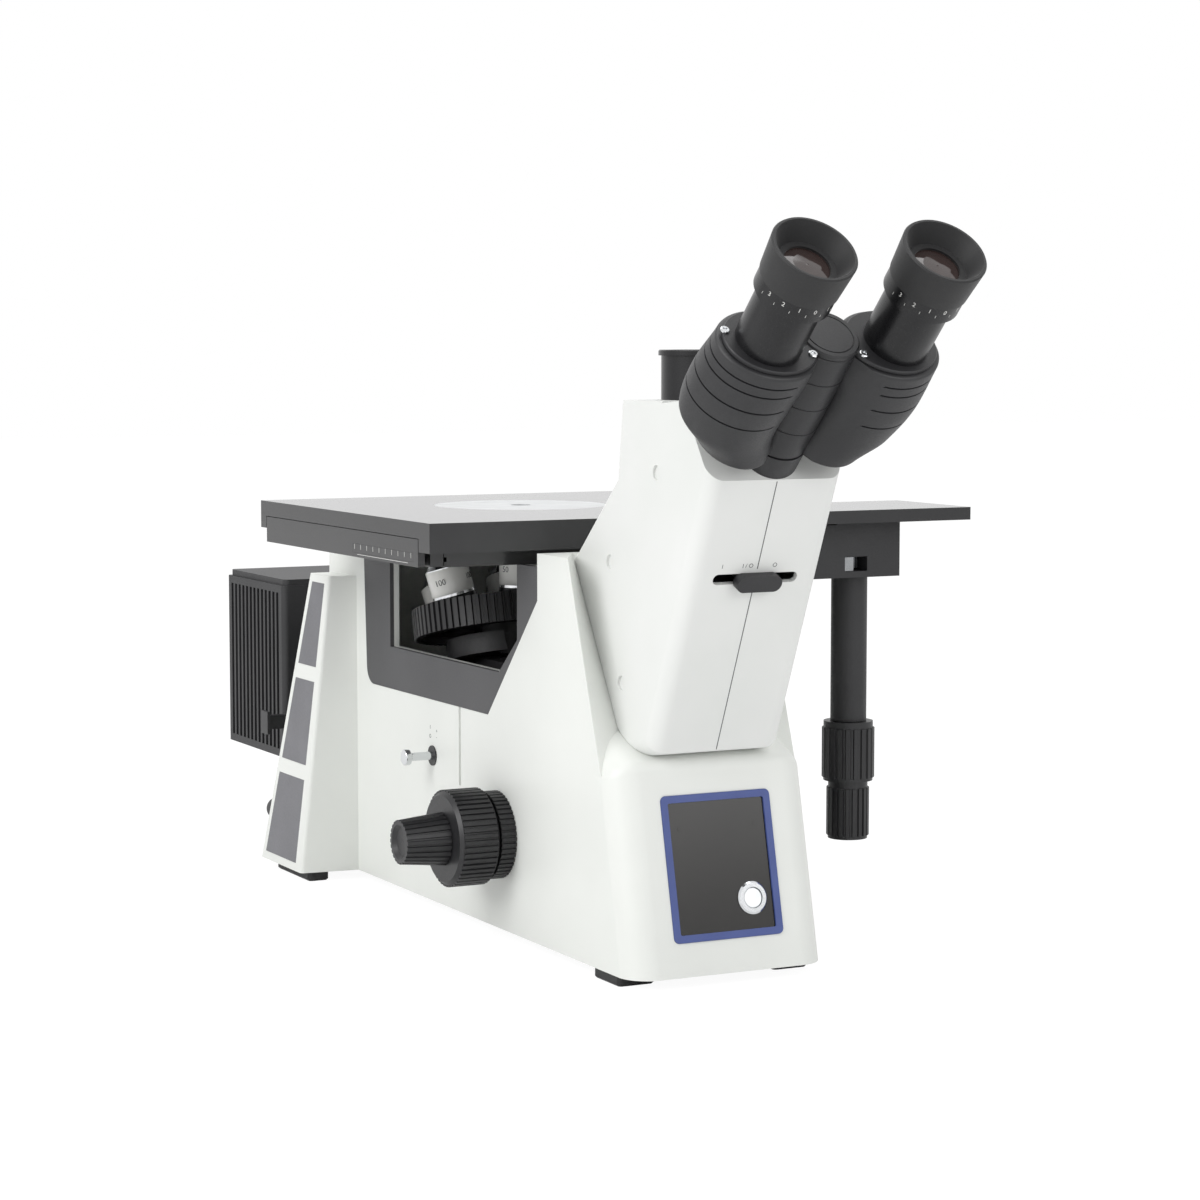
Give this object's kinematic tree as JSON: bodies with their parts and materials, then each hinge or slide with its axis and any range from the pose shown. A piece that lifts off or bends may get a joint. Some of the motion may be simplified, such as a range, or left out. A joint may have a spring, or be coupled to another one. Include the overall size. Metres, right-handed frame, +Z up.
{
  "type": "inverted microscope",
  "caption": "Inverted laboratory microscope: white cast body with leaning trinocular head, black sliding stage over a revolving nosepiece, coaxial focus and stage drives, rear lamp house.",
  "frame": {"origin": "under the middle of the whole object's bounding box, on the bench", "axes": "+Z up, +X to the user's right, +Y away from the user, towards the lamp house; the user sits at -Y"},
  "size_m": [0.3492, 0.7662, 0.3982],
  "materials": {
    "body_paint": "satin off-white enamel",
    "head_cover": "satin off-white",
    "black_plastic": "fine grained",
    "dark_grey_plastic": "satin",
    "inlay_grey": "satin",
    "black_anodised": "black anodised",
    "black_enamel": "satin black enamel",
    "bare_aluminium": "turned",
    "steel": "ground",
    "bright_chrome": "polished",
    "brass_cell": "turned",
    "rubber_black": "matte",
    "bezel_blue": "satin blue",
    "panel_black": "gloss",
    "clear_glass": "coated",
    "frosted_metal": "fine brushed"
  },
  "bodies": {
    "frame": {"front_casting": "body_paint", "rear_casting": "body_paint", "bottom_plate": "steel", "feet": "rubber_black", "fascias": "dark_grey_plastic", "wing_inlays": "inlay_grey", "panel_bezel": "bezel_blue", "control_panel": "panel_black", "button_ring": "bright_chrome", "left_head_shell": "head_cover", "right_head_shell": "head_cover", "port_tower": "head_cover", "photo_port": "black_anodised", "binocular_base": "black_enamel", "focus_guide": "steel", "shaft_bushes": "black_plastic", "stage_base": "black_anodised", "y_rack": "steel", "relay_optics": "black_enamel", "power_supply": "steel", "illuminator_neck": "black_enamel", "lamphouse_shell": "black_enamel", "lamphouse_lid": "black_enamel", "halogen_lamp": "clear_glass", "collector_lens": "clear_glass", "fuse_holder": "black_plastic", "mains_inlet": "black_plastic"},
    "button": {"power_button": "frosted_metal"},
    "selector": {"selector_slide": "black_plastic"},
    "left_ocular": {"left_prism_housing": "black_plastic", "left_eyepiece_tube": "black_anodised"},
    "right_ocular": {"right_prism_housing": "black_plastic", "right_eyepiece_tube": "black_anodised"},
    "left_eyepiece": {"left_diopter_ring": "black_anodised", "left_eyecup": "rubber_black", "left_eye_lens": "clear_glass"},
    "right_eyepiece": {"right_diopter_ring": "black_anodised", "right_eyecup": "rubber_black", "right_eye_lens": "clear_glass"},
    "carriage": {"stage_carriage": "black_anodised", "travel_scale": "panel_black", "drive_block": "black_enamel", "drive_sleeve": "black_enamel"},
    "table": {"stage_top": "black_anodised", "x_rack": "steel"},
    "insert": {"stage_insert": "frosted_metal"},
    "y_drive": {"y_shaft": "steel", "y_knob": "black_plastic"},
    "x_drive": {"x_shaft": "steel", "x_knob": "black_plastic"},
    "nosepiece": {"nosepiece_carrier": "black_enamel"},
    "revolver": {"turret": "black_enamel", "turret_ring": "black_plastic", "objectives": "bright_chrome"},
    "coarse": {"coarse_shaft": "steel", "coarse_knobs": "black_plastic"},
    "fine": {"fine_focus": "black_plastic"},
    "collar": {"tension_collar": "black_plastic"},
    "cube": {"cube_slide": "steel"},
    "filter": {"filter_slide": "black_plastic"}
  },
  "joints": [
    {"name": "stage_y", "type": "slide", "parent": "frame", "child": "carriage", "axis": [0, 1, 0], "range_m": [-0.014, 0.026]},
    {"name": "stage_x", "type": "slide", "parent": "carriage", "child": "table", "axis": [1, 0, 0], "range_m": [-0.025, 0.025]},
    {"name": "insert_lift", "type": "slide", "parent": "table", "child": "insert", "axis": [0, 0, 1], "range_m": [0, 0.02]},
    {"name": "y_knob_turn", "type": "hinge", "parent": "carriage", "child": "y_drive", "pos_m": [0.11465, -0.06867, 0.15], "axis": [0, 0, 1], "range_deg": [-100.77, 186.71]},
    {"name": "x_knob_turn", "type": "hinge", "parent": "carriage", "child": "x_drive", "pos_m": [0.11465, -0.06867, 0.1], "axis": [0, 0, 1], "range_deg": [-179.55, 179.55]},
    {"name": "nosepiece_lift", "type": "slide", "parent": "frame", "child": "nosepiece", "axis": [0, 0, 1], "range_m": [-0.002, 0.007]},
    {"name": "turret_turn", "type": "hinge", "parent": "nosepiece", "child": "revolver", "pos_m": [-0.05335, 0.06633, 0.179], "axis": [0, 0.2419, 0.9703], "continuous": true},
    {"name": "coarse_turn", "type": "hinge", "parent": "frame", "child": "coarse", "pos_m": [-0.05335, -0.06167, 0.06], "axis": [1, 0, 0], "range_deg": [-18.2, 62.97]},
    {"name": "fine_turn", "type": "hinge", "parent": "frame", "child": "fine", "pos_m": [-0.05335, -0.06167, 0.06], "axis": [1, 0, 0], "continuous": true},
    {"name": "tension_turn", "type": "hinge", "parent": "frame", "child": "collar", "pos_m": [-0.11835, -0.06167, 0.06], "axis": [1, 0, 0], "range_deg": [-45, 45]},
    {"name": "left_ocular_swing", "type": "hinge", "parent": "frame", "child": "left_ocular", "pos_m": [-0.05335, -0.31827, 0.3406], "axis": [0, -0.7071, 0.7071], "range_deg": [-8, 37]},
    {"name": "right_ocular_swing", "type": "hinge", "parent": "frame", "child": "right_ocular", "pos_m": [-0.05335, -0.31827, 0.3406], "axis": [0, -0.7071, 0.7071], "range_deg": [-37, 8]},
    {"name": "left_diopter_turn", "type": "hinge", "parent": "left_ocular", "child": "left_eyepiece", "pos_m": [-0.08985, -0.35009, 0.36535], "axis": [0, -0.7071, 0.7071], "range_deg": [-150, 150]},
    {"name": "right_diopter_turn", "type": "hinge", "parent": "right_ocular", "child": "right_eyepiece", "pos_m": [-0.01685, -0.35009, 0.36535], "axis": [0, -0.7071, 0.7071], "range_deg": [-150, 150]},
    {"name": "light_path_slide", "type": "slide", "parent": "frame", "child": "selector", "axis": [1, 0, 0], "range_m": [-0.0105, 0]},
    {"name": "cube_push", "type": "slide", "parent": "frame", "child": "cube", "axis": [1, 0, 0], "range_m": [0, 0.014]},
    {"name": "filter_pull", "type": "slide", "parent": "frame", "child": "filter", "axis": [-1, 0, 0], "range_m": [0, 0.028]},
    {"name": "power_press", "type": "slide", "parent": "frame", "child": "button", "axis": [0, 0.9756, -0.2196], "range_m": [0, 0.0015], "stiffness_N_per_m": 300, "springref_m": -0.002}
  ],
  "couplings": [
    {"joint": "y_knob_turn", "follows": "stage_y", "rad_per_m": 125},
    {"joint": "x_knob_turn", "follows": "stage_x", "rad_per_m": -125},
    {"joint": "coarse_turn", "follows": "nosepiece_lift", "rad_per_m": 156.25},
    {"joint": "right_ocular_swing", "follows": "left_ocular_swing", "ratio": -1}
  ]
}
